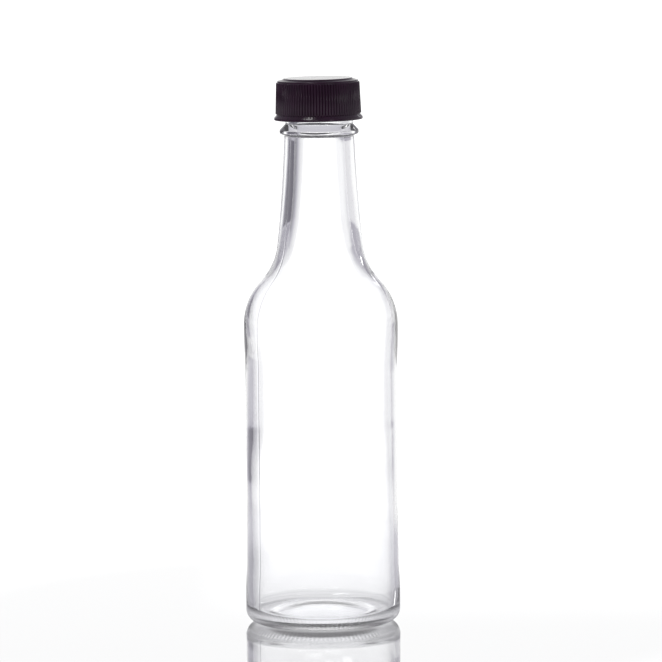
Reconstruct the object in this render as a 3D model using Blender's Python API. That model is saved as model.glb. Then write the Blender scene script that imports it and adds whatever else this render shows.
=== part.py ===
"""A clear glass sauce bottle with a ribbed screw cap, standing upright.

Units are metres and +Z is up. The origin is on the bottle's axis, on the
surface that it stands on. The bottle is one hollow piece of glass with a
threaded mouth, and the cap is one hollow moulding screwed over that mouth.
"""

import math

import bmesh
import bpy
from mathutils import Matrix

# Foot and heel of the bottle
BODY_RADIUS = 0.0242
HEEL_BEND = 0.0044
FOOT_RING_WIDTH = 0.0014
PUNT_HEIGHT = 0.0026
PUNT_RADIUS = 0.0140
PUNT_EDGE_HEIGHT = 0.0004
HEEL_BAND_TOP = 0.0095

# Shallow recess round the body, where a label would go
LABEL_RADIUS = 0.0238
LABEL_BOTTOM = 0.0200
LABEL_TOP = 0.0800
SHOULDER_BAND_RADIUS = 0.0241
SHOULDER_BAND_BOTTOM = 0.0915

# Shoulder and neck, as slopes in degrees from upright and bend radii
SHOULDER_START = 0.0932
SHOULDER_BEND = 0.0204
SHOULDER_SLOPE = 39.5
SHOULDER_FLAT = 0.0031
HOLLOW_BEND = 0.0184
NECK_FOOT_SLOPE = 6.2
NECK_TOP_SLOPE = 2.3
NECK_BEND = 0.4700

# Carrying bead under the cap
BEAD_BOTTOM = 0.1524
BEAD_RADIUS = 0.0123
BEAD_MIDDLE = 0.1539
BEAD_BEND = 0.0004
BEAD_UNDERSIDE_SLOPE = -63.0
BEAD_TOP_SLOPE = 43.0

# Threaded mouth, called the finish
FINISH_RADIUS = 0.0105
LIP_HEIGHT = 0.1679
LIP_BEND = 0.0010
MOUTH_BEND = 0.0007
THREAD_PITCH = 0.003175
GLASS_THREAD_RADIUS = 0.0115
GLASS_THREAD_START = 0.1606
GLASS_THREAD_TURNS = 1.45

# Inside of the bottle
WALL = 0.0033
FLOOR_HEIGHT = 0.0050
FLOOR_EDGE_SLOPE = 14.0
INNER_HEEL_BEND = 0.0034
LOWER_HOLLOW_RADIUS = 0.0221

# How thick the glass is at each height, as a share of the wall of the neck. It
# settled into a thicker belt round the middle of the body.
WALL_SHARES = (
    (0.0100, 0.56),
    (0.0300, 0.45),
    (0.0490, 0.52),
    (0.0600, 0.68),
    (0.0780, 0.69),
    (0.0900, 0.53),
    (0.1050, 0.45),
    (0.1150, 0.66),
    (0.1270, 1.00),
    (0.1530, 1.00),
)

# Cap, in its own frame with its lower edge at height 0
CAP_BOTTOM = 0.15725
CAP_HEIGHT = 0.01285
CAP_SHIFT = -0.00025
CAP_TILT = 0.7
CAP_TILT_HEIGHT = 0.0064
RIB_COUNT = 90
RIB_DEPTH = 0.00036
RIB_CREST_SHARE = 0.26
RIB_FLANK_SHARE = 0.24
RIB_BOTTOM_RADIUS = 0.01331
RIB_TOP_RADIUS = 0.01296
RIB_BOTTOM = 0.0017
RIB_TOP = 0.0122
RIB_RUN_OUT = 0.0003
FLANGE_RADIUS = 0.0138
FLANGE_TOP = 0.0006
FLANGE_CHAMFER = 0.0002
CORNER_BEND = 0.0003
DISC_FOOT_RADIUS = 0.01085
DISC_RADIUS = 0.0107
BORE_RADIUS = 0.01205
CEILING_HEIGHT = 0.0116
CEILING_BEND = 0.0005
CAP_THREAD_RADIUS = 0.01105
CAP_THREAD_TURNS = 1.6

# Fineness of the round shapes
BOTTLE_SEGMENTS = 48
THREAD_STEPS_PER_TURN = 24
THREAD_RAMP_TURN = 0.1
THREAD_SINK = 0.0004
SMOOTH_ANGLE = 32.0

GLASS_COLOUR = (0.96, 0.97, 0.98, 1.0)
CAP_COLOUR = (0.030, 0.018, 0.026, 1.0)


class Outline:
    """A turned outline, drawn point by point like a pen stroke.

    A point is a radius and a height. The slope is the heading in degrees from
    straight up: 0 goes up, 90 goes in to the axis and -90 goes out.
    """

    def __init__(self, radius, height, slope):
        self.radius = radius
        self.height = height
        self.slope = slope
        self.points = [(radius, height)]

    def go_to(self, radius, height):
        """Draw a straight stretch to a point."""
        self.radius = radius
        self.height = height
        self.points.append((radius, height))

    def ahead(self, length):
        """Draw a straight stretch along the present slope."""
        heading = math.radians(self.slope)
        radius = self.radius - math.sin(heading) * length
        self.go_to(radius, self.height + math.cos(heading) * length)

    def rise_to(self, height):
        """Go on along the present slope up to a height."""
        self.ahead((height - self.height) / math.cos(math.radians(self.slope)))

    def turn(self, slope, bend, steps):
        """Follow an arc with radius bend until the slope is the new one."""
        side = 1 if slope > self.slope else -1
        start = math.radians(self.slope)
        sweep = math.radians(slope) - start
        centre_radius = self.radius - side * bend * math.cos(start)
        centre_height = self.height - side * bend * math.sin(start)
        for step in range(1, steps + 1):
            angle = start + sweep * step / steps
            radius = centre_radius + side * bend * math.cos(angle)
            self.go_to(radius, centre_height + side * bend * math.sin(angle))
        self.slope = slope

    def ease(self, radius, height, steps):
        """Change radius on the way up by two equal and opposite arcs."""
        shift = self.radius - radius
        rise = height - self.height
        slope = 2 * math.degrees(math.atan(shift / rise))
        bend = rise / (2 * math.sin(math.radians(abs(slope))))
        self.turn(slope, bend, steps)
        self.turn(0.0, bend, steps)


def wall_thickness(height):
    """The thickness of the glass at a height, level, between two stations."""
    for (bottom, low_share), (top, high_share) in zip(WALL_SHARES, WALL_SHARES[1:]):
        if height <= top:
            part = (height - bottom) / (top - bottom)
            return WALL * (low_share + (high_share - low_share) * part)
    return WALL


def with_heights(points, heights):
    """An outline with a point added wherever it passes one of the heights."""
    rows = [points[0]]
    for (radius_a, height_a), (radius_b, height_b) in zip(points, points[1:]):
        for height in heights:
            if height_a + 0.0005 < height < height_b - 0.0005:
                part = (height - height_a) / (height_b - height_a)
                rows.append((radius_a + (radius_b - radius_a) * part, height))
        rows.append((radius_b, height_b))
    return rows


def outer_points():
    """The outside of the bottle, from the middle of its underside to its lip."""
    ring_outer = BODY_RADIUS - HEEL_BEND
    dome_rise = PUNT_HEIGHT - PUNT_EDGE_HEIGHT
    dome_bend = (PUNT_RADIUS ** 2 + dome_rise ** 2) / (2 * dome_rise)
    outline = Outline(0.0, PUNT_HEIGHT, -90.0)
    outline.turn(-90.0 - math.degrees(math.asin(PUNT_RADIUS / dome_bend)), dome_bend, 3)
    outline.go_to(ring_outer - FOOT_RING_WIDTH, 0.0)
    outline.go_to(ring_outer, 0.0)
    outline.slope = -90.0
    outline.turn(0.0, HEEL_BEND, 5)

    outline.rise_to(HEEL_BAND_TOP)
    outline.ease(LABEL_RADIUS, LABEL_BOTTOM, 2)
    outline.rise_to(LABEL_TOP)
    outline.ease(SHOULDER_BAND_RADIUS, SHOULDER_BAND_BOTTOM, 2)
    outline.rise_to(SHOULDER_START)
    outline.turn(SHOULDER_SLOPE, SHOULDER_BEND, 5)
    outline.ahead(SHOULDER_FLAT)
    outline.turn(NECK_FOOT_SLOPE, HOLLOW_BEND, 4)
    outline.turn(NECK_TOP_SLOPE, NECK_BEND, 2)

    outline.rise_to(BEAD_BOTTOM)
    outline.slope = BEAD_UNDERSIDE_SLOPE
    edge_radius = BEAD_RADIUS - BEAD_BEND * (1 - math.cos(math.radians(outline.slope)))
    outline.ahead((edge_radius - outline.radius) / math.sin(math.radians(-outline.slope)))
    outline.turn(0.0, BEAD_BEND, 2)
    outline.rise_to(BEAD_MIDDLE)
    outline.turn(BEAD_TOP_SLOPE, BEAD_BEND, 1)
    outline.ahead((outline.radius - FINISH_RADIUS) / math.sin(math.radians(BEAD_TOP_SLOPE)))
    outline.slope = 0.0
    outline.rise_to(LIP_HEIGHT - LIP_BEND)
    outline.turn(90.0, LIP_BEND, 3)
    return outline.points


def inner_points():
    """The inside of the bottle, from the middle of its floor to its lip."""
    fall = math.sin(math.radians(FLOOR_EDGE_SLOPE))
    floor_radius = LOWER_HOLLOW_RADIUS - INNER_HEEL_BEND * (1 + fall)
    outline = Outline(0.0, FLOOR_HEIGHT, -90.0)
    outline.turn(-90.0 - FLOOR_EDGE_SLOPE, floor_radius / fall, 2)
    outline.turn(0.0, INNER_HEEL_BEND, 4)
    stations = [height for height, share in WALL_SHARES]
    for radius, height in with_heights(outer_points(), stations):
        if stations[0] <= height <= BEAD_BOTTOM:
            outline.go_to(radius - wall_thickness(height), height)
    outline.slope = 0.0
    outline.rise_to(LIP_HEIGHT - MOUTH_BEND)
    outline.turn(-90.0, MOUTH_BEND, 2)
    return outline.points


def angles(count):
    """Equal steps round a full turn, in radians."""
    return [2 * math.pi * step / count for step in range(count)]


def rib_angles():
    """Four angles for each rib: two at its crest, then two in its valley."""
    pitch = 2 * math.pi / RIB_COUNT
    crest = RIB_CREST_SHARE / 2
    valley = crest + RIB_FLANK_SHARE
    marks = (-crest, crest, valley, 1 - valley)
    return [pitch * (rib + mark) for rib in range(RIB_COUNT) for mark in marks]


def ring(mesh, radius, height, ring_angles, valley_depth=0.0):
    """Add a ring of points, or one point on the axis, and return them.

    With a valley depth, every third and fourth point lies that much deeper.
    """
    if radius < 1e-6:
        return [mesh.verts.new((0.0, 0.0, height))]
    points = []
    for index, angle in enumerate(ring_angles):
        reach = radius - valley_depth if index % 4 > 1 else radius
        points.append(mesh.verts.new((reach * math.cos(angle), reach * math.sin(angle), height)))
    return points


def join_rings(mesh, first, second):
    """Fill the band between two rings, of which one may be finer or a point."""
    if len(first) > len(second):
        first, second = second, first
    ratio = len(second) // len(first)
    lead = (ratio - 1) // 2
    for index in range(len(second)):
        near, far = second[index], second[(index + 1) % len(second)]
        corner = first[(index + lead) // ratio % len(first)]
        after = first[(index + 1 + lead) // ratio % len(first)]
        if corner is after:
            mesh.faces.new((corner, near, far))
        else:
            mesh.faces.new((corner, after, far, near))


def finished_mesh(name, mesh):
    """Turn the faces outwards, shade the round ones smooth and free the bmesh."""
    bmesh.ops.recalc_face_normals(mesh, faces=mesh.faces)
    data = bpy.data.meshes.new(name)
    mesh.to_mesh(data)
    mesh.free()
    data.shade_smooth()
    data.set_sharp_from_angle(angle=math.radians(SMOOTH_ANGLE))
    return data


def add_object(name, data, material=None):
    """Put a mesh in the scene as a named object."""
    item = bpy.data.objects.new(name, data)
    bpy.context.scene.collection.objects.link(item)
    if material:
        data.materials.append(material)
    return item


def helical_ridge(name, root, crest, root_width, crest_width, start, turns):
    """A closed helical ridge that rises out of its root at both of its ends.

    It climbs counterclockwise, as a right-handed thread does. The root and
    the crest are radii, and the crest may lie inside the root.
    """
    mesh = bmesh.new()
    steps = round(turns * THREAD_STEPS_PER_TURN)
    rows = []
    for step in range(steps + 1):
        turn = turns * step / steps
        ramp = min(1.0, 0.04 + min(turn, turns - turn) / THREAD_RAMP_TURN)
        top = root + (crest - root) * ramp
        top_width = root_width + (crest_width - root_width) * ramp
        height = start + THREAD_PITCH * turn
        angle = 2 * math.pi * turn
        section = (
            (root, -root_width / 2), (top, -top_width / 2),
            (top, top_width / 2), (root, root_width / 2),
        )
        rows.append([
            mesh.verts.new((radius * math.cos(angle), radius * math.sin(angle), height + rise))
            for radius, rise in section
        ])
    for near, far in zip(rows, rows[1:]):
        for side in range(4):
            after = (side + 1) % 4
            mesh.faces.new((near[side], near[after], far[after], far[side]))
    mesh.faces.new(rows[0])
    mesh.faces.new(rows[-1])
    return add_object(name, finished_mesh(name, mesh))


def fuse(item, helper):
    """Join a hidden helper to an object by a Boolean union."""
    helper.hide_render = True
    helper.display_type = "WIRE"
    union = item.modifiers.new("Thread", "BOOLEAN")
    union.operation = "UNION"
    union.solver = "EXACT"
    union.object = helper


def glass():
    """Clear, colourless bottle glass."""
    material = bpy.data.materials.new("clear_glass")
    material.use_nodes = True
    shader = material.node_tree.nodes["Principled BSDF"]
    shader.inputs["Base Color"].default_value = GLASS_COLOUR
    shader.inputs["Roughness"].default_value = 0.02
    shader.inputs["IOR"].default_value = 1.52
    shader.inputs["Transmission Weight"].default_value = 1.0
    return material


def cap_plastic():
    """Very dark brown moulded plastic, half glossy."""
    material = bpy.data.materials.new("cap_plastic")
    material.use_nodes = True
    shader = material.node_tree.nodes["Principled BSDF"]
    shader.inputs["Base Color"].default_value = CAP_COLOUR
    shader.inputs["Roughness"].default_value = 0.35
    shader.inputs["Metallic"].default_value = 0.0
    return material


def make_bottle():
    """The bottle: one turned, hollow piece of glass with a thread on its mouth."""
    mesh = bmesh.new()
    rings = [
        ring(mesh, radius, height, angles(BOTTLE_SEGMENTS))
        for radius, height in outer_points() + inner_points()[::-1]
    ]
    for first, second in zip(rings, rings[1:]):
        join_rings(mesh, first, second)
    bottle = add_object("bottle", finished_mesh("bottle", mesh), glass())
    thread = helical_ridge(
        "glass_thread", FINISH_RADIUS - THREAD_SINK, GLASS_THREAD_RADIUS,
        root_width=0.0022, crest_width=0.0007,
        start=GLASS_THREAD_START, turns=GLASS_THREAD_TURNS,
    )
    fuse(bottle, thread)


def cap_rings(mesh):
    """The rings of the cap, from its ceiling down its bore and up its outside."""
    coarse = angles(RIB_COUNT)
    fine = rib_angles()
    valley_bottom = RIB_BOTTOM_RADIUS - RIB_DEPTH
    valley_top = RIB_TOP_RADIUS - RIB_DEPTH
    rings = [
        ring(mesh, 0.0, CEILING_HEIGHT, coarse),
        ring(mesh, BORE_RADIUS - CEILING_BEND, CEILING_HEIGHT, coarse),
        ring(mesh, BORE_RADIUS, CEILING_HEIGHT - CEILING_BEND, coarse),
        ring(mesh, BORE_RADIUS, 0.0, coarse),
        ring(mesh, FLANGE_RADIUS - FLANGE_CHAMFER, 0.0, coarse),
        ring(mesh, FLANGE_RADIUS, FLANGE_CHAMFER, coarse),
        ring(mesh, FLANGE_RADIUS, FLANGE_TOP, coarse),
        ring(mesh, valley_bottom, RIB_BOTTOM, fine),
        ring(mesh, RIB_BOTTOM_RADIUS, RIB_BOTTOM + RIB_RUN_OUT, fine, RIB_DEPTH),
        ring(mesh, RIB_TOP_RADIUS, RIB_TOP - RIB_RUN_OUT, fine, RIB_DEPTH),
        ring(mesh, valley_top, RIB_TOP, fine),
    ]
    corner = Outline(valley_top, RIB_TOP, 0.0)
    corner.turn(90.0, CORNER_BEND, 3)
    corner.go_to(DISC_FOOT_RADIUS, corner.height)
    corner.go_to(DISC_RADIUS, CAP_HEIGHT)
    corner.go_to(0.0, CAP_HEIGHT)
    rings += [ring(mesh, radius, height, coarse) for radius, height in corner.points[1:]]
    return rings


def make_cap():
    """The cap: a ribbed, flanged shell with a thread inside, a little askew."""
    mesh = bmesh.new()
    rings = cap_rings(mesh)
    for first, second in zip(rings, rings[1:]):
        join_rings(mesh, first, second)
    cap = add_object("cap", finished_mesh("cap", mesh), cap_plastic())
    thread = helical_ridge(
        "cap_thread", BORE_RADIUS + THREAD_SINK / 2, CAP_THREAD_RADIUS,
        root_width=0.0011, crest_width=0.0004,
        start=GLASS_THREAD_START - THREAD_PITCH / 2 - CAP_BOTTOM, turns=CAP_THREAD_TURNS,
    )
    thread.parent = cap
    fuse(cap, thread)
    pivot = Matrix.Translation((0.0, 0.0, CAP_TILT_HEIGHT))
    tilt = Matrix.Rotation(-math.radians(CAP_TILT), 4, "Y")
    lift = Matrix.Translation((CAP_SHIFT, 0.0, CAP_BOTTOM))
    cap.matrix_world = lift @ pivot @ tilt @ pivot.inverted()


def main():
    for item in list(bpy.data.objects):
        bpy.data.objects.remove(item)
    make_bottle()
    make_cap()


main()
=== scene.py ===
"""Looks for an empty, clear glass sauce bottle with a dark ribbed screw cap.

The script is laid out as an add-on. Each piece of the object has an operator,
and so does the studio round it. Units are metres, +Z is up, and the camera
looks along +Y.
"""

import math

import bmesh
import bpy
from bpy.props import FloatProperty, FloatVectorProperty, IntProperty, PointerProperty
from mathutils import Matrix, Vector, noise


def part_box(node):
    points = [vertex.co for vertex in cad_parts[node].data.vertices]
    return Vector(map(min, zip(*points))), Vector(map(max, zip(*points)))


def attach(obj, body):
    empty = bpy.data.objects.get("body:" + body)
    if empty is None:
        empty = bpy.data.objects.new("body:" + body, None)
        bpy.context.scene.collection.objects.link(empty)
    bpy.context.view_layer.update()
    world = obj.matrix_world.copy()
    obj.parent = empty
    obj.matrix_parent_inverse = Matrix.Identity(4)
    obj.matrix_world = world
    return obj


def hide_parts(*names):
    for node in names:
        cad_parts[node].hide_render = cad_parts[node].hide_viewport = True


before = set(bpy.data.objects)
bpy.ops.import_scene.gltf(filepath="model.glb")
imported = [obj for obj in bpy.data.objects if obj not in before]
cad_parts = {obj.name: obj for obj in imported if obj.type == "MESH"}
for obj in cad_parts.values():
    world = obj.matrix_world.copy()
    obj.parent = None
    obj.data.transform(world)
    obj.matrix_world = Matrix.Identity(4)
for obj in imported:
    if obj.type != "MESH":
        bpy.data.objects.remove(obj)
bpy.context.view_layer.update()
BOTTLE_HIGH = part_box("bottle")[1]

bl_info = {
    "name": "Glass Sauce Bottle",
    "version": (1, 0, 0),
    "blender": (4, 5, 0),
    "location": "3D View > Sidebar > Sauce Bottle",
    "description": "Makes a clear glass sauce bottle, its ribbed screw cap and a studio",
    "category": "Object",
}

# Foot and heel of the bottle
BODY_RADIUS = BOTTLE_HIGH.x
HEEL_BEND = 0.0044
FOOT_RING_WIDTH = 0.0014
PUNT_HEIGHT = 0.0026
PUNT_RADIUS = 0.0140
PUNT_EDGE_HEIGHT = 0.0004
HEEL_BAND_TOP = 0.0095
PLATE_SEAM_HEIGHT = 0.0038
PLATE_SEAM_WIDTH = 0.0005

# Fine bars round the foot, and the frosted band that they leave
KNURL_TOP = 0.0030
KNURL_FADE = (0.0010, 0.0026)
FROST_DEPTH = (HEEL_BEND * 0.90, HEEL_BEND * 0.96)
FROST_TOP = (0.0036, 0.0040)
FROST_INSIDE = (0.0176, 0.0182)

# Shallow recess round the body, where a label would go
LABEL_RADIUS = 0.0238
LABEL_BOTTOM = 0.0200
LABEL_TOP = 0.0800
SHOULDER_BAND_RADIUS = 0.0241
SHOULDER_BAND_BOTTOM = 0.0915

# Shoulder and neck, as slopes in degrees from upright and bend radii
SHOULDER_START = 0.0932
SHOULDER_BEND = 0.0204
SHOULDER_SLOPE = 39.5
SHOULDER_FLAT = 0.0031
HOLLOW_BEND = 0.0184
NECK_FOOT_SLOPE = 6.2
NECK_TOP_SLOPE = 2.3
NECK_BEND = 0.4700

# Carrying bead and threaded mouth
BEAD_BOTTOM = 0.1524
BEAD_RADIUS = 0.0123
BEAD_MIDDLE = 0.1539
BEAD_BEND = 0.0004
BEAD_FILLET = 0.0003
BEAD_UNDERSIDE_SLOPE = -63.0
BEAD_TOP_SLOPE = 43.0
FINISH_RADIUS = 0.0105
LIP_HEIGHT = BOTTLE_HIGH.z
LIP_BEND = 0.0010
MOUTH_BEND = 0.0007
THREAD_PITCH = 0.003175
THREAD_RAMP_TURN = 0.1
GLASS_THREAD_START = 0.1606
GLASS_THREAD_TURNS = 1.45
GLASS_THREAD_DEPTH = 0.0010
GLASS_THREAD_WIDTHS = (0.0020, 0.0007)

# Inside of the bottle
FLOOR_HEIGHT = 0.0050
FLOOR_EDGE_SLOPE = 14.0
INNER_HEEL_BEND = 0.0034
LOWER_HOLLOW_RADIUS = 0.0221

# How thick the glass is at each height, on the left and on the right, as a share of
# the wall at the mouth. It settled into a thicker belt round the middle of the body.
WALL_SHARES = (
    (0.0100, 0.60, 0.52),
    (0.0180, 0.52, 0.46),
    (0.0300, 0.46, 0.44),
    (0.0400, 0.44, 0.47),
    (0.0500, 0.50, 0.53),
    (0.0580, 0.68, 0.60),
    (0.0640, 0.72, 0.65),
    (0.0780, 0.72, 0.66),
    (0.0840, 0.66, 0.62),
    (0.0910, 0.50, 0.55),
    (0.0970, 0.41, 0.49),
    (0.1050, 0.42, 0.48),
    (0.1150, 0.66, 0.66),
    (0.1270, 0.96, 0.94),
    (0.1530, 0.96, 0.94),
)

# The inner surface starts to wander and ends it softly between these heights
WAVES_START = (0.004, 0.016)
WAVES_END = (0.150, 0.130)
WAVES_ROUND = 2.2
WAVES_UP = 38.0

# Cap, placed with its lower edge at this height, and else in its own frame. The edge of
# its top disc is given in edge bends, out from the disc's radius and up from its top.
CAP_BOTTOM = 0.15725
CAP_HEIGHT = 0.01285
CAP_SHIFT = -0.00025
CAP_TILT_HEIGHT = 0.0064
RIB_BOTTOM_RADIUS = 0.01331
RIB_TOP_RADIUS = 0.01296
RIB_BOTTOM = 0.0017
RIB_TOP = 0.0117
RIB_RUN_OUT = 0.0003
RIB_RUN_OUT_STEPS = 4
FLANGE_RADIUS = 0.0138
FLANGE_TOP = 0.0006
FLANGE_CHAMFER = 0.00020
FLANGE_FILLET = 0.0003
CORNER_BOTTOM = 0.0119
CORNER_BEND = 0.0003
RIM_SLOPE = 75.0
DISC_FOOT_RADIUS = 0.01085
DISC_RADIUS = 0.0107
DISC_EDGE_BEND = 0.0001
DISC_EDGE = ((0.3, -1.0), (-0.3, -0.2), (-1.0, 0.0), (-4.0, 0.0))
BORE_RADIUS = 0.01205
CEILING_HEIGHT = 0.0116
CEILING_BEND = 0.0005
CAP_THREAD_DEPTH = 0.00100
CAP_THREAD_WIDTHS = (0.0011, 0.0004)
CAP_THREAD_TURNS = 1.6

# Two mould seams run up the glass, opposite each other
SEAM_ANGLE = math.radians(-145.1)
SEAM_WIDTH = 0.00045
SEAM_TRIM_LEAD = 0.001
FAR_SEAM_SHARE = 0.4
SEAM_CROWDING = 0.42

# Fineness of the round shapes
BOTTLE_COLUMNS = 288
FOOT_COLUMNS = 4 * BOTTLE_COLUMNS
BOTTLE_ROW = 0.0024
INNER_ROW = 0.0010
FINISH_ROW = 0.00028
FINE_ROWS_FROM = BEAD_MIDDLE + 0.003
RIB_COLUMNS = 8
GROOVE_SHARPNESS = math.radians(55)
BORE_COLUMNS_PER_RIB = 2
ON_AXIS = 1e-6
ROUNDING = 1e-5

# Finish of the two materials: how often their marks come, and how deep they are
GLASS_IOR = 1.52
# Colour of the faint glow painted evenly over the glass
PAINTED_GLOW_COLOUR = (0.97, 0.95, 1.0, 1.0)
GLASS_CLOUD = 90.0
MOULD_MARKS = 420.0
FROST_GRAIN = 1500.0
FROST_SHARE = 6.0
MOULD_MARK_DEPTH = 0.000006
PLASTIC_IOR = 1.49
PLASTIC_SHINE = 0.45
PLASTIC_CLOUD = 160.0
PLASTIC_GRAIN = 2600.0
PLASTIC_GRAIN_DEPTH = 0.000010
PLASTIC_FADING = 1.4

# Floor, with the places where the light and shade painted on its glow start and stop: brighter
# under the bottle, behind it and further out, dimmer near it in front, on its left and far behind
# it
FLOOR_RADIUS = 0.30
FLOOR_DROP = 0.00002
FLOOR_FADE = (FLOOR_RADIUS * 0.45, FLOOR_RADIUS * 0.97)
FLOOR_PAINTED_SHADE = 0.42
LIT_UNDER = (0.0192, 0.024)
LIT_BEHIND = (-0.02, 0.13)
LIT_FROM_LEFT = (-0.045, -0.02)
LIT_OUTSIDE = (0.11, 0.16)
LIT_END = (0.17, 0.22)

# Bright backdrop. A turn is in degrees to the right from straight behind the bottle, and
# a rise in degrees from level. Each loss of light grows between two turns or rises.
BACKDROP_LEVEL = 1.28
UPPER_LOSS, UPPER_EDGE = 0.07, (2, 7)
FLANK_LOSS, FLANK_EDGE = 0.2, (8, 12)
CEILING_LOSS, CEILING_EDGE = 0.9, (25, 45)
WHITE = (1.0, 1.0, 1.0, 1.0)
SHADE_TINT = (0.965, 0.92, 1.12, 1.0)

# Panels laid over the backdrop, one after another: the turns at which a panel starts and
# is full, its lowest and highest rise, how soft these two edges are, and its level
BELOW_ALL = -95.0
SIDE_PANELS = (
    (-16, -27, -16.0, -6.4, 0.9, 0.54),
    (-8, -30, -6.4, 6.0, 0.9, 0.15),
    (-9, -28, 6.0, 70.0, 1.5, 0.38),
    (14, 34, -16.0, -9.0, 1.0, 0.58),
    (20, 48, -9.0, -6.0, 1.0, 0.56),
    (20, 44, -6.0, -3.5, 0.8, 0.36),
    (14, 32, -3.5, 5.0, 0.8, 0.74),
    (4, 22, 5.0, 70.0, 1.5, 0.40),
    (14, 30, BELOW_ALL, -15.0, 2.0, 0.70),
)

# Panels that are alike on the left and the right, first two that go all the way round
ROUND_PANELS = (
    (-2, -1, BELOW_ALL, -19.0, 5.0, 0.60),
    (-2, -1, BELOW_ALL, -28.5, 2.5, 0.38),
    (130, 175, BELOW_ALL, -6.0, 3.0, 0.45),
    (95, 125, -7.0, 60.0, 2.0, 0.20),
)

# Lamps, as turn, half width, rise, half height and strength
LAMP_SOFTNESS = 1.0
STUDIO_LAMPS = (
    (31, 1.6, 20, 3, 4.0),
    (144, 7, 1.7, 0.6, 9.0),
    (-165, 13, 0.4, 1.0, 4.0),
    (-138, 14, 62, 12, 6.0),
)

# Camera
SENSOR_WIDTH = 36.0
VIEW_RANGE = (0.05, 50.0)


class Outline:
    """A turned outline, drawn point by point like a pen stroke.

    A point is a radius and a height. The slope is the heading in degrees from
    straight up: 0 goes up, 90 goes in to the axis and -90 goes out.
    """

    def __init__(self, radius, height, slope):
        self.radius = radius
        self.height = height
        self.slope = slope
        self.points = [(radius, height)]

    def go_to(self, radius, height):
        """Draw a straight stretch to a point."""
        self.radius = radius
        self.height = height
        self.points.append((radius, height))

    def ahead(self, length):
        """Draw a straight stretch along the present slope."""
        heading = math.radians(self.slope)
        radius = self.radius - math.sin(heading) * length
        self.go_to(radius, self.height + math.cos(heading) * length)

    def rise_to(self, height):
        """Go on along the present slope up to a height."""
        self.ahead((height - self.height) / math.cos(math.radians(self.slope)))

    def turn(self, slope, bend, steps):
        """Follow an arc with radius bend until the slope is the new one."""
        side = 1 if slope > self.slope else -1
        start = math.radians(self.slope)
        sweep = math.radians(slope) - start
        centre_radius = self.radius - side * bend * math.cos(start)
        centre_height = self.height - side * bend * math.sin(start)
        for step in range(1, steps + 1):
            angle = start + sweep * step / steps
            radius = centre_radius + side * bend * math.cos(angle)
            self.go_to(radius, centre_height + side * bend * math.sin(angle))
        self.slope = slope

    def ease(self, radius, height, steps):
        """Change radius on the way up by two equal and opposite arcs."""
        shift = self.radius - radius
        rise = height - self.height
        slope = 2 * math.degrees(math.atan(shift / rise))
        bend = rise / (2 * math.sin(math.radians(abs(slope))))
        self.turn(slope, bend, steps)
        self.turn(0.0, bend, steps)


def outer_points():
    """The outside of the bottle, from the middle of its underside to its lip."""
    ring_outer = BODY_RADIUS - HEEL_BEND
    dome_rise = PUNT_HEIGHT - PUNT_EDGE_HEIGHT
    dome_bend = (PUNT_RADIUS ** 2 + dome_rise ** 2) / (2 * dome_rise)
    outline = Outline(0.0, PUNT_HEIGHT, -90.0)
    outline.turn(-90.0 - math.degrees(math.asin(PUNT_RADIUS / dome_bend)), dome_bend, 14)
    outline.go_to(ring_outer - FOOT_RING_WIDTH, 0.0)
    outline.go_to(ring_outer, 0.0)
    outline.slope = -90.0
    outline.turn(0.0, HEEL_BEND, 26)

    outline.rise_to(HEEL_BAND_TOP)
    outline.ease(LABEL_RADIUS, LABEL_BOTTOM, 6)
    outline.rise_to(LABEL_TOP)
    outline.ease(SHOULDER_BAND_RADIUS, SHOULDER_BAND_BOTTOM, 6)
    outline.rise_to(SHOULDER_START)
    outline.turn(SHOULDER_SLOPE, SHOULDER_BEND, 20)
    outline.ahead(SHOULDER_FLAT)
    outline.turn(NECK_FOOT_SLOPE, HOLLOW_BEND, 18)
    outline.turn(NECK_TOP_SLOPE, NECK_BEND, 12)

    outline.rise_to(BEAD_BOTTOM - BEAD_FILLET)
    outline.turn(BEAD_UNDERSIDE_SLOPE, BEAD_FILLET, 5)
    edge_radius = BEAD_RADIUS - BEAD_BEND * (1 - math.cos(math.radians(outline.slope)))
    outline.ahead((edge_radius - outline.radius) / math.sin(math.radians(-outline.slope)))
    outline.turn(0.0, BEAD_BEND, 6)
    outline.rise_to(BEAD_MIDDLE)
    outline.turn(BEAD_TOP_SLOPE, BEAD_BEND, 4)
    fillet_reach = BEAD_FILLET * (1 - math.cos(math.radians(BEAD_TOP_SLOPE)))
    cone_reach = outline.radius - FINISH_RADIUS - fillet_reach
    outline.ahead(cone_reach / math.sin(math.radians(BEAD_TOP_SLOPE)))
    outline.turn(0.0, BEAD_FILLET, 4)
    outline.rise_to(LIP_HEIGHT - LIP_BEND)
    outline.turn(90.0, LIP_BEND, 8)
    return outline.points


def value_between(stations, height, column):
    """A value at a height, on a smooth curve through the stations of a table."""
    last = len(stations) - 1
    upper = min(last, max(1, sum(station[0] < height for station in stations)))
    lower = upper - 1

    def slope(index):
        below, above = stations[max(0, index - 1)], stations[min(last, index + 1)]
        return (above[column] - below[column]) / (above[0] - below[0])

    span = stations[upper][0] - stations[lower][0]
    share = min(1.0, max(0.0, (height - stations[lower][0]) / span))
    rise = smooth_step(share)
    start, end = stations[lower][column], stations[upper][column]
    lead = share * (1 - share) ** 2 * span * slope(lower)
    trail = share ** 2 * (share - 1) * span * slope(upper)
    return start + (end - start) * rise + lead + trail


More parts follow.
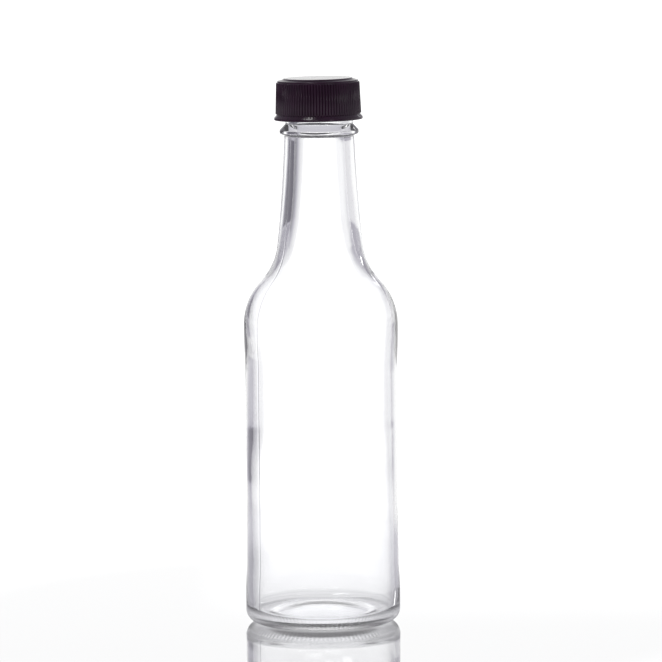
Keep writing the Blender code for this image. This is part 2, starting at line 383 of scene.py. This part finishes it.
def inner_points(outside, wall):
    """The inside of the bottle, from the middle of its floor to its lip.

    Its rows over the walls keep to the outside here, and each point of such a row
    is later set in by the thickness of the glass.
    """
    fall = math.sin(math.radians(FLOOR_EDGE_SLOPE))
    floor_radius = LOWER_HOLLOW_RADIUS - INNER_HEEL_BEND * (1 + fall)
    outline = Outline(0.0, FLOOR_HEIGHT, -90.0)
    outline.turn(-90.0 - FLOOR_EDGE_SLOPE, floor_radius / fall, 12)
    outline.turn(0.0, INNER_HEEL_BEND, 14)
    bottom, top = WALL_SHARES[0][0], BEAD_BOTTOM - BEAD_FILLET
    for radius, height in with_rows(outside, lambda at: INNER_ROW):
        if bottom < height < top:
            outline.go_to(radius, height)
    outline.go_to(outline.radius - wall, top)
    outline.slope = 0.0
    outline.rise_to(LIP_HEIGHT - MOUTH_BEND)
    outline.turn(-90.0, MOUTH_BEND, 6)
    return outline.points


def with_rows(points, spacing):
    """Split every stretch of an outline that is longer than the spacing."""
    rows = [points[0]]
    for (radius_a, height_a), (radius_b, height_b) in zip(points, points[1:]):
        length = math.hypot(radius_b - radius_a, height_b - height_a)
        parts = max(1, math.ceil(length / spacing(height_b)))
        for part in range(1, parts + 1):
            share = part / parts
            rows.append((
                radius_a + (radius_b - radius_a) * share,
                height_a + (height_b - height_a) * share,
            ))
    return rows


def smooth_step(value, start=0.0, end=1.0):
    """An even rise from 0 at the start to 1 at the end, with soft ends."""
    share = min(1.0, max(0.0, (value - start) / (end - start)))
    return share * share * (3 - 2 * share)


def bell(distance, width):
    """A bump of height 1 at distance 0 that ends at the given width."""
    return 1 - smooth_step(abs(distance) / width)


def thread_height(angle, height, start, turns, widths):
    """How much of a thread's depth stands at a place on a wall, from 0 to 1."""
    root_width, crest_width = widths
    most = 0.0
    turn = angle / (2 * math.pi) % 1.0
    while turn <= turns:
        ramp = smooth_step(min(turn, turns - turn) / THREAD_RAMP_TURN)
        distance = abs(height - start - THREAD_PITCH * turn)
        flank = (root_width / 2 - distance) / (root_width / 2 - crest_width / 2)
        most = max(most, ramp * smooth_step(flank))
        turn += 1.0
    return most


def ring(mesh, count, place, crowding=0.0):
    """Add a ring of points at the places that an angle gives, and return them.

    With crowding, the points stand closer together near the mould seams.
    """
    points = []
    for step in range(count):
        angle = 2 * math.pi * step / count
        angle -= crowding * math.sin(2 * (angle - SEAM_ANGLE))
        points.append(mesh.verts.new(place(angle)))
    return points


def join_rings(mesh, first, second):
    """Fill the band between two rings, of which one may be finer or a point."""
    if len(first) > len(second):
        first, second = second, first
    ratio = len(second) // len(first)
    lead = (ratio - 1) // 2
    for index in range(len(second)):
        near, far = second[index], second[(index + 1) % len(second)]
        corner = first[(index + lead) // ratio % len(first)]
        after = first[(index + 1 + lead) // ratio % len(first)]
        if corner is after:
            mesh.faces.new((corner, near, far))
        else:
            mesh.faces.new((corner, after, far, near))


def add_piece(name, mesh, rings, material, stands_for):
    """Join rings into a closed skin and make it a piece that replaces a node."""
    for first, second in zip(rings, rings[1:]):
        join_rings(mesh, first, second)
    bmesh.ops.recalc_face_normals(mesh, faces=mesh.faces)
    data = bpy.data.meshes.new(name)
    mesh.to_mesh(data)
    mesh.free()
    data.shade_smooth()
    data.materials.append(material)
    piece = bpy.data.objects.new(name, data)
    bpy.context.scene.collection.objects.link(piece)
    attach(piece, "root")
    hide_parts(stands_for)
    return piece


class Wire:
    """An output socket whose arithmetic adds Math nodes to its graph."""

    def __init__(self, graph, socket):
        self.graph = graph
        self.socket = socket

    def __add__(self, other):
        return self.graph.maths("ADD", self, other)

    __radd__ = __add__

    def __sub__(self, other):
        return self.graph.maths("SUBTRACT", self, other)

    def __rsub__(self, other):
        return self.graph.maths("SUBTRACT", other, self)

    def __mul__(self, other):
        return self.graph.maths("MULTIPLY", self, other)

    __rmul__ = __mul__

    def above(self, low, high):
        """Rise smoothly from 0 at low to 1 at high, which may be the smaller of the two."""
        return self.graph.node(
            "ShaderNodeMapRange",
            {"interpolation_type": "SMOOTHSTEP", "clamp": True},
            {"Value": self, "From Min": low, "From Max": high},
        )


class Graph:
    """A node tree that is filled from scratch."""

    def __init__(self, tree):
        self.tree = tree
        tree.nodes.clear()

    def node(self, kind, settings=None, sockets=None, output=0):
        """Add a node, set it up, fill or link its sockets, and return an output."""
        item = self.tree.nodes.new(kind)
        for name, value in (settings or {}).items():
            setattr(item, name, value)
        for name, value in (sockets or {}).items():
            if isinstance(value, Wire):
                self.tree.links.new(value.socket, item.inputs[name])
            else:
                item.inputs[name].default_value = value
        return Wire(self, item.outputs[output]) if item.outputs else None

    def maths(self, operation, *values):
        """A Math node on one or more values."""
        return self.node("ShaderNodeMath", {"operation": operation}, dict(enumerate(values)))

    def distance(self, first, second):
        """The distance from the origin of a point with these two coordinates."""
        return self.maths("SQRT", first * first + second * second)

    def mix_colours(self, factor, first, second):
        """Blend two colours, which are sockets 6 and 7 of a Mix node."""
        return self.node(
            "ShaderNodeMix", {"data_type": "RGBA"},
            {0: factor, 6: first, 7: second}, output=2,
        )

    def noise(self, place, scale, detail):
        """A noise value from 0 to 1 at a place."""
        return self.node(
            "ShaderNodeTexNoise", {},
            {"Vector": place, "Scale": scale, "Detail": detail},
        )

    def bump(self, height, distance):
        """A bumped normal, for a height from 0 to 1 and its size in metres."""
        return self.node("ShaderNodeBump", {}, {"Height": height, "Distance": distance})


def new_material(name):
    """An empty material and its graph."""
    material = bpy.data.materials.new(name)
    material.use_nodes = True
    return material, Graph(material.node_tree)


def coordinates(graph, kind):
    """A place on a piece, or a direction in the world, as a vector and as three values."""
    place = graph.node("ShaderNodeTexCoord", output=kind)
    parts = [graph.node("ShaderNodeSeparateXYZ", {}, {0: place}, output=axis) for axis in "XYZ"]
    return place, parts


def scaled(colour, factor):
    """A colour made lighter or darker by a factor."""
    return tuple(min(1.0, channel * factor) for channel in colour[:3]) + (1.0,)


class GlassSettings(bpy.types.PropertyGroup):
    """Sizes and finish of the glass bottle."""

    wall: FloatProperty(
        name="Wall", description="Thickness of the glass at the mouth",
        default=0.0033, min=0.001, max=0.005, unit="LENGTH",
    )
    waviness: FloatProperty(
        name="Waviness", description="How far the inner surface wanders in and out",
        default=0.00006, unit="LENGTH",
    )
    knurls: IntProperty(
        name="Knurls", description="Number of fine bars round the foot", default=104, min=20,
    )
    knurl_depth: FloatProperty(
        name="Knurl depth", description="Depth of the grooves between the bars",
        default=0.00018, unit="LENGTH",
    )
    seam_height: FloatProperty(
        name="Seam height", description="How far the mould seams stand proud",
        default=0.00004, unit="LENGTH",
    )
    # Strength of a faint glow painted over the whole glass, which lights it a little though it is
    # no lamp
    painted_glow: FloatProperty(
        name="Haze", description="Light that the faintly dusty surface scatters",
        default=0.011, min=0.0,
    )
    tint: FloatVectorProperty(
        name="Tint", description="Colour of the glass", subtype="COLOR", size=4,
        default=(0.985, 0.988, 0.992, 1.0), min=0.0, max=1.0,
    )


class CapSettings(bpy.types.PropertyGroup):
    """Sizes and finish of the screw cap."""

    ribs: IntProperty(
        name="Ribs", description="Number of upright ribs round the cap", default=90, min=12,
    )
    rib_depth: FloatProperty(
        name="Rib depth", description="Depth of the valleys between the ribs",
        default=0.00036, unit="LENGTH",
    )
    tilt: FloatProperty(
        name="Tilt", description="How far the cap leans over to the left",
        default=math.radians(0.7), subtype="ANGLE",
    )
    plastic: FloatVectorProperty(
        name="Plastic", description="Colour of the moulded plastic", subtype="COLOR", size=4,
        default=(0.026, 0.0065, 0.021, 1.0), min=0.0, max=1.0,
    )


class StudioSettings(bpy.types.PropertyGroup):
    """Camera, floor and light."""

    distance: FloatProperty(
        name="Distance", description="From the bottle's axis to the camera, level",
        default=1.444, unit="LENGTH",
    )
    camera_height: FloatProperty(
        name="Camera height", description="Height of the camera above the floor",
        default=0.2546, unit="LENGTH",
    )
    sideways: FloatProperty(
        name="Sideways", description="How far the camera stands to the right",
        default=0.00315, unit="LENGTH",
    )
    look_down: FloatProperty(
        name="Look down", description="How far the camera looks down",
        default=math.radians(6.455), subtype="ANGLE",
    )
    roll: FloatProperty(
        name="Roll", description="How far the camera is turned about its view",
        default=math.radians(0.48), subtype="ANGLE",
    )
    lens: FloatProperty(
        name="Lens", description="Focal length on a 36 mm sensor, in millimetres",
        default=253.9,
    )
    floor_colour: FloatVectorProperty(
        name="Floor colour", description="Colour of the glossy floor", subtype="COLOR", size=4,
        default=(0.97, 0.972, 1.0, 1.0), min=0.0, max=1.0,
    )
    # Strength of the floor's glow, which carries its painted light and shade
    floor_glow: FloatProperty(
        name="Floor glow", description="Brightness of the floor under and behind the bottle",
        default=1.05, min=0.0,
    )
    floor_gloss: FloatProperty(
        name="Floor gloss", description="How fast the mirror image fades as one looks down",
        default=1.9, min=0.5,
    )


def make_glass(settings):
    """Clear glass with faint mould marks, a frosted foot and a faint painted glow over it."""
    material, graph = new_material("clear_glass")
    place, (across, along, up) = coordinates(graph, "Object")
    reach = graph.distance(across, along)
    depth = graph.distance(reach - (BODY_RADIUS - HEEL_BEND), up - HEEL_BEND)
    frost = depth.above(*FROST_DEPTH) * (1 - up.above(*FROST_TOP)) * reach.above(*FROST_INSIDE)
    marks = graph.noise(place, MOULD_MARKS, 2.0)
    marks = marks + FROST_SHARE * frost * graph.noise(place, FROST_GRAIN, 3.0)
    normal = graph.bump(marks, MOULD_MARK_DEPTH)
    cloud = graph.noise(place, GLASS_CLOUD, 3.0)
    shader = graph.node("ShaderNodeBsdfPrincipled", {}, {
        "Base Color": tuple(settings.tint),
        "Roughness": 0.004 + 0.012 * cloud + 0.22 * frost,
        "IOR": GLASS_IOR,
        "Transmission Weight": 1.0,
        # Painted glow: the glass gives off a faint, even light of its own
        "Emission Color": PAINTED_GLOW_COLOUR,
        "Emission Strength": settings.painted_glow,
        "Normal": normal,
    })
    graph.node("ShaderNodeOutputMaterial", {}, {"Surface": shader})
    return material


def make_plastic(settings):
    """Dark moulded plastic with a fine grain and a few dull patches."""
    material, graph = new_material("cap_plastic")
    place, (across, along, up) = coordinates(graph, "Object")
    grain = graph.noise(place, PLASTIC_GRAIN, 3.0)
    cloud = graph.noise(place, PLASTIC_CLOUD, 2.0)
    ribbed = up.above(CAP_BOTTOM + FLANGE_TOP, CAP_BOTTOM + RIB_BOTTOM)
    ribbed = ribbed * (1 - up.above(CAP_BOTTOM + RIB_TOP, CAP_BOTTOM + CORNER_BOTTOM))
    base = tuple(settings.plastic)
    faded = scaled(base, PLASTIC_FADING)
    shader = graph.node("ShaderNodeBsdfPrincipled", {}, {
        "Base Color": graph.mix_colours(cloud.above(0.3, 0.75), base, faded),
        "Roughness": 0.12 + 0.05 * cloud + 0.03 * grain + 0.01 * ribbed,
        "IOR": PLASTIC_IOR,
        "Specular IOR Level": PLASTIC_SHINE,
        "Normal": graph.bump(grain, PLASTIC_GRAIN_DEPTH),
    })
    graph.node("ShaderNodeOutputMaterial", {}, {"Surface": shader})
    return material


class SAUCE_BOTTLE_OT_blow_glass(bpy.types.Operator):
    """Make the hollow glass bottle with its knurled foot and threaded mouth"""

    bl_idname = "sauce_bottle.blow_glass"
    bl_label = "Blow Glass"

    def execute(self, context):
        settings = context.scene.sauce_bottle_glass
        mesh = bmesh.new()

        def row_spacing(height):
            return FINISH_ROW if height > FINE_ROWS_FROM else BOTTLE_ROW

        rings = []
        outside = outer_points()
        for radius, height in with_rows(outside, row_spacing):
            rings.append(self.outer_ring(mesh, radius, height, settings))
        for radius, height in reversed(inner_points(outside, settings.wall)):
            rings.append(self.inner_ring(mesh, radius, height, settings))
        add_piece("glass_bottle", mesh, rings, make_glass(settings), "bottle")
        return {"FINISHED"}

    def outer_ring(self, mesh, radius, height, settings):
        """A ring of the outside, with its knurls, seams or thread where it has them."""
        if radius < ON_AXIS:
            return [mesh.verts.new((0.0, 0.0, height))]
        ring_inner = BODY_RADIUS - HEEL_BEND - FOOT_RING_WIDTH
        knurled = radius > ring_inner - ROUNDING and height < KNURL_TOP
        fade = 1 - smooth_step(height, *KNURL_FADE)
        plate_seam = settings.seam_height * bell(height - PLATE_SEAM_HEIGHT, PLATE_SEAM_WIDTH)
        seamed = PLATE_SEAM_HEIGHT < height < BEAD_BOTTOM
        # The wall stands back, so that the seams on it don't pass the bottle's outline
        trimmed = PLATE_SEAM_HEIGHT - SEAM_TRIM_LEAD < height < BEAD_BOTTOM
        trim = settings.seam_height if trimmed else 0.0

        def place(angle):
            reach, rise = radius + plate_seam - trim, height
            if knurled:
                bar = smooth_step(0.5 + 0.5 * math.cos(settings.knurls * angle))
                cut = settings.knurl_depth * (1 - bar) * fade
                reach -= cut * min(1.0, height / HEEL_BEND * 2)
                rise += cut
            if seamed:
                aside = radius * math.remainder(angle - SEAM_ANGLE, math.pi)
                share = 1.0 if math.cos(angle - SEAM_ANGLE) > 0 else FAR_SEAM_SHARE
                reach += settings.seam_height * share * bell(aside, SEAM_WIDTH)
            if height > BEAD_MIDDLE:
                reach += GLASS_THREAD_DEPTH * thread_height(
                    angle, height, GLASS_THREAD_START, GLASS_THREAD_TURNS, GLASS_THREAD_WIDTHS)
            return (reach * math.cos(angle), reach * math.sin(angle), rise)

        return ring(mesh, FOOT_COLUMNS if knurled else BOTTLE_COLUMNS, place, SEAM_CROWDING)

    def inner_ring(self, mesh, radius, height, settings):
        """A ring of the inside, set in by the wall where it is one, and a little wavy."""
        if radius < ON_AXIS:
            return [mesh.verts.new((0.0, 0.0, height))]
        waves = smooth_step(height, *WAVES_START) * smooth_step(height, *WAVES_END)
        walled = WALL_SHARES[0][0] < height < BEAD_BOTTOM - BEAD_FILLET
        left = settings.wall * value_between(WALL_SHARES, height, 1) if walled else 0.0
        right = settings.wall * value_between(WALL_SHARES, height, 2) if walled else 0.0

        def place(angle):
            spot = Vector((math.cos(angle), math.sin(angle), 0.0)) * WAVES_ROUND
            spot.z = height * WAVES_UP
            reach = radius + settings.waviness * waves * noise.noise(spot)
            reach -= right + (left - right) * (0.5 - 0.5 * math.cos(angle))
            return (reach * math.cos(angle), reach * math.sin(angle), height)

        return ring(mesh, BOTTLE_COLUMNS, place, SEAM_CROWDING)


class SAUCE_BOTTLE_OT_mould_cap(bpy.types.Operator):
    """Make the ribbed screw cap with its flange and inner thread"""

    bl_idname = "sauce_bottle.mould_cap"
    bl_label = "Mould Cap"

    def execute(self, context):
        settings = context.scene.sauce_bottle_cap
        mesh = bmesh.new()
        rings = self.bore_rings(mesh, settings) + self.skirt_rings(mesh, settings)
        pivot = Matrix.Translation((0.0, 0.0, CAP_TILT_HEIGHT))
        tilt = Matrix.Rotation(-settings.tilt, 4, "Y")
        lift = Matrix.Translation((CAP_SHIFT, 0.0, CAP_BOTTOM))
        mesh.transform(lift @ pivot @ tilt @ pivot.inverted())
        cap = add_piece("screw_cap", mesh, rings, make_plastic(settings), "cap")
        cap.data.set_sharp_from_angle(angle=GROOVE_SHARPNESS)
        return {"FINISHED"}

    def bore_rings(self, mesh, settings):
        """The inside, from the middle of the ceiling down to the lower edge."""
        count = settings.ribs * BORE_COLUMNS_PER_RIB
        bore = Outline(BORE_RADIUS, 0.0, 0.0)
        bore.rise_to(CEILING_HEIGHT - CEILING_BEND)
        bore.turn(90.0, CEILING_BEND, 4)
        start = GLASS_THREAD_START - THREAD_PITCH / 2 - CAP_BOTTOM
        rings = [[mesh.verts.new((0.0, 0.0, CEILING_HEIGHT))]]
        for radius, height in reversed(with_rows(bore.points, lambda at: FINISH_ROW)):
            def place(angle, radius=radius, height=height):
                depth = CAP_THREAD_DEPTH * thread_height(
                    angle, height, start, CAP_THREAD_TURNS, CAP_THREAD_WIDTHS)
                reach = min(radius, BORE_RADIUS - depth)
                return (reach * math.cos(angle), reach * math.sin(angle), height)
            rings.append(ring(mesh, count, place))
        return rings

    def skirt_rings(self, mesh, settings):
        """The outside, from the lower edge up to the middle of the top."""
        fine = settings.ribs * RIB_COLUMNS
        coarse = settings.ribs * BORE_COLUMNS_PER_RIB

        def plain(radius, height):
            def place(angle):
                return (radius * math.cos(angle), radius * math.sin(angle), height)
            return place

        def ribbed(crest, height, share):
            def place(angle):
                wave = abs(math.sin(settings.ribs * angle / 2))
                radius = crest - settings.rib_depth * (1 - share * wave)
                return (radius * math.cos(angle), radius * math.sin(angle), height)
            return place

        valley_bottom = RIB_BOTTOM_RADIUS - settings.rib_depth
        valley_top = RIB_TOP_RADIUS - settings.rib_depth
        edge = Outline(FLANGE_RADIUS - FLANGE_CHAMFER, 0.0, -90.0)
        edge.turn(0.0, FLANGE_CHAMFER, 5)
        edge.rise_to(FLANGE_TOP)
        flare = math.degrees(math.atan2(FLANGE_RADIUS - valley_bottom, RIB_BOTTOM - FLANGE_TOP))
        edge.turn(flare, FLANGE_FILLET, 3)
        rings = [ring(mesh, coarse, plain(*point)) for point in edge.points]

        steps = RIB_RUN_OUT_STEPS
        rings.append(ring(mesh, fine, plain(valley_bottom, RIB_BOTTOM)))
        for step in range(1, steps + 1):
            share = smooth_step(step / steps)
            height = RIB_BOTTOM + RIB_RUN_OUT * step / steps
            rings.append(ring(mesh, fine, ribbed(RIB_BOTTOM_RADIUS, height, share)))
        for step in range(steps, -1, -1):
            share = smooth_step(step / steps)
            height = RIB_TOP - RIB_RUN_OUT * step / steps
            rings.append(ring(mesh, fine, ribbed(RIB_TOP_RADIUS, height, share)))

        corner = Outline(valley_top, RIB_TOP, 0.0)
        corner.rise_to(CORNER_BOTTOM)
        corner.turn(RIM_SLOPE, CORNER_BEND, 8)
        corner.ahead((corner.radius - DISC_FOOT_RADIUS) / math.sin(math.radians(RIM_SLOPE)))
        for out, up in DISC_EDGE:
            corner.go_to(DISC_RADIUS + DISC_EDGE_BEND * out, CAP_HEIGHT + DISC_EDGE_BEND * up)
        rings += [ring(mesh, coarse, plain(*point)) for point in corner.points[1:]]
        rings.append([mesh.verts.new((0.0, 0.0, CAP_HEIGHT))])
        return rings


class SAUCE_BOTTLE_OT_set_stage(bpy.types.Operator):
    """Make the glossy pale floor, the studio light and the camera"""

    bl_idname = "sauce_bottle.set_stage"
    bl_label = "Set Stage"

    def execute(self, context):
        settings = context.scene.sauce_bottle_studio
        self.floor(settings)
        self.light(context.scene)
        self.camera(context.scene, settings)
        context.scene.view_settings.view_transform = "Standard"
        return {"FINISHED"}

    def floor(self, settings):
        """A glossy floor whose glow carries painted light and shade round the bottle, and that
        fades away at its edge.
        """
        mesh = bmesh.new()
        bmesh.ops.create_circle(mesh, cap_ends=True, segments=96, radius=FLOOR_RADIUS)
        data = bpy.data.meshes.new("studio_floor")
        mesh.to_mesh(data)
        mesh.free()
        material, graph = new_material("studio_floor")
        place, (across, along, up) = coordinates(graph, "Object")
        reach = graph.distance(across, along)
        facing = graph.node("ShaderNodeLayerWeight", {}, {"Blend": 0.5}, output="Facing")
        mirror = graph.maths("POWER", facing, settings.floor_gloss)
        # Painted light and shade: the glow is brighter behind the bottle, further out and right
        # under it, and dimmer near it in front, on its left and far behind it
        painted_light = along.above(*LIT_BEHIND) * across.above(*LIT_FROM_LEFT)
        painted_light = (painted_light + reach.above(*LIT_OUTSIDE)) * (1 - along.above(*LIT_END))
        under = 1 - reach.above(*LIT_UNDER)
        bright = tuple(settings.floor_colour)
        painted_shade = scaled(bright, FLOOR_PAINTED_SHADE)
        glow = graph.node("ShaderNodeEmission", {}, {
            "Color": graph.mix_colours(painted_light + under, painted_shade, bright),
            "Strength": settings.floor_glow,
        })
        gloss = graph.node("ShaderNodeBsdfGlossy", {}, {
            "Color": WHITE,
            "Roughness": 0.02 + 0.02 * graph.noise(place, 9.0, 2.0),
        })
        sheet = graph.node("ShaderNodeMixShader", {}, {0: mirror, 1: glow, 2: gloss})
        clear = graph.node("ShaderNodeBsdfTransparent")
        fade = reach.above(*FLOOR_FADE)
        blend = graph.node("ShaderNodeMixShader", {}, {0: fade, 1: sheet, 2: clear})
        graph.node("ShaderNodeOutputMaterial", {}, {"Surface": blend})
        data.materials.append(material)
        floor = bpy.data.objects.new("studio_floor", data)
        floor.location.z = -FLOOR_DROP
        bpy.context.scene.collection.objects.link(floor)

    def light(self, scene):
        """A bright backdrop with darker panels round it, and a few small lamps."""
        world = bpy.data.worlds.new("studio_light")
        world.use_nodes = True
        scene.world = world
        graph = Graph(world.node_tree)
        across, along, up = coordinates(graph, "Generated")[1]
        turn = graph.maths("ARCTAN2", across, along) * (180 / math.pi)
        rise = graph.maths("ARCSINE", up) * (180 / math.pi)
        aside = graph.maths("ABSOLUTE", turn)

        def zone(value, low, high, soft):
            past = value.above(high - soft, high + soft)
            return value.above(low - soft, low + soft) * (1 - past)

        level = BACKDROP_LEVEL - UPPER_LOSS * rise.above(*UPPER_EDGE)
        level = level * (1 - FLANK_LOSS * aside.above(*FLANK_EDGE))
        level = level * (1 - CEILING_LOSS * rise.above(*CEILING_EDGE))
        for angle, panels in ((turn, SIDE_PANELS), (aside, ROUND_PANELS)):
            for turn_start, turn_full, low, high, soft, panel_level in panels:
                mask = angle.above(turn_start, turn_full) * zone(rise, low, high, soft)
                level = level * (1 - mask) + panel_level * mask
        for turn_at, turn_half, rise_at, rise_half, strength in STUDIO_LAMPS:
            lamp = zone(turn, turn_at - turn_half, turn_at + turn_half, LAMP_SOFTNESS)
            lamp = lamp * zone(rise, rise_at - rise_half, rise_at + rise_half, LAMP_SOFTNESS)
            level = level + lamp * strength
        colour = graph.mix_colours(1 - level.above(0.0, 1.0), WHITE, SHADE_TINT)
        background = graph.node("ShaderNodeBackground", {}, {"Color": colour, "Strength": level})
        graph.node("ShaderNodeOutputWorld", {}, {"Surface": background})

    def camera(self, scene, settings):
        """A long lens at the photograph's place and angle."""
        data = bpy.data.cameras.new("camera")
        data.sensor_width = SENSOR_WIDTH
        data.lens = settings.lens
        data.clip_start, data.clip_end = VIEW_RANGE
        camera = bpy.data.objects.new("camera", data)
        scene.collection.objects.link(camera)
        spot = Matrix.Translation((settings.sideways, -settings.distance, settings.camera_height))
        aim = Matrix.Rotation(math.radians(90) - settings.look_down, 4, "X")
        camera.matrix_world = spot @ aim @ Matrix.Rotation(-settings.roll, 4, "Z")
        scene.camera = camera


class SAUCE_BOTTLE_PT_panel(bpy.types.Panel):
    """The sidebar panel with the sizes, the colours and the operators"""

    bl_idname = "SAUCE_BOTTLE_PT_panel"
    bl_label = "Sauce Bottle"
    bl_space_type = "VIEW_3D"
    bl_region_type = "UI"
    bl_category = "Sauce Bottle"

    def draw(self, context):
        scene = context.scene
        parts = (
            (scene.sauce_bottle_glass, SAUCE_BOTTLE_OT_blow_glass),
            (scene.sauce_bottle_cap, SAUCE_BOTTLE_OT_mould_cap),
            (scene.sauce_bottle_studio, SAUCE_BOTTLE_OT_set_stage),
        )
        for settings, operator in parts:
            column = self.layout.column(align=True)
            for name in settings.__annotations__:
                column.prop(settings, name)
            column.operator(operator.bl_idname)


CLASSES = (
    GlassSettings,
    CapSettings,
    StudioSettings,
    SAUCE_BOTTLE_OT_blow_glass,
    SAUCE_BOTTLE_OT_mould_cap,
    SAUCE_BOTTLE_OT_set_stage,
    SAUCE_BOTTLE_PT_panel,
)


def register():
    """Add the classes and the scene's settings."""
    for item in CLASSES:
        bpy.utils.register_class(item)
    bpy.types.Scene.sauce_bottle_glass = PointerProperty(type=GlassSettings)
    bpy.types.Scene.sauce_bottle_cap = PointerProperty(type=CapSettings)
    bpy.types.Scene.sauce_bottle_studio = PointerProperty(type=StudioSettings)


def unregister():
    """Take the scene's settings and the classes away again."""
    del bpy.types.Scene.sauce_bottle_studio
    del bpy.types.Scene.sauce_bottle_cap
    del bpy.types.Scene.sauce_bottle_glass
    for item in reversed(CLASSES):
        bpy.utils.unregister_class(item)


def main():
    """Make the bottle, the cap and the studio."""
    register()
    bpy.ops.sauce_bottle.blow_glass()
    bpy.ops.sauce_bottle.mould_cap()
    bpy.ops.sauce_bottle.set_stage()


if __name__ == "__main__":
    main()
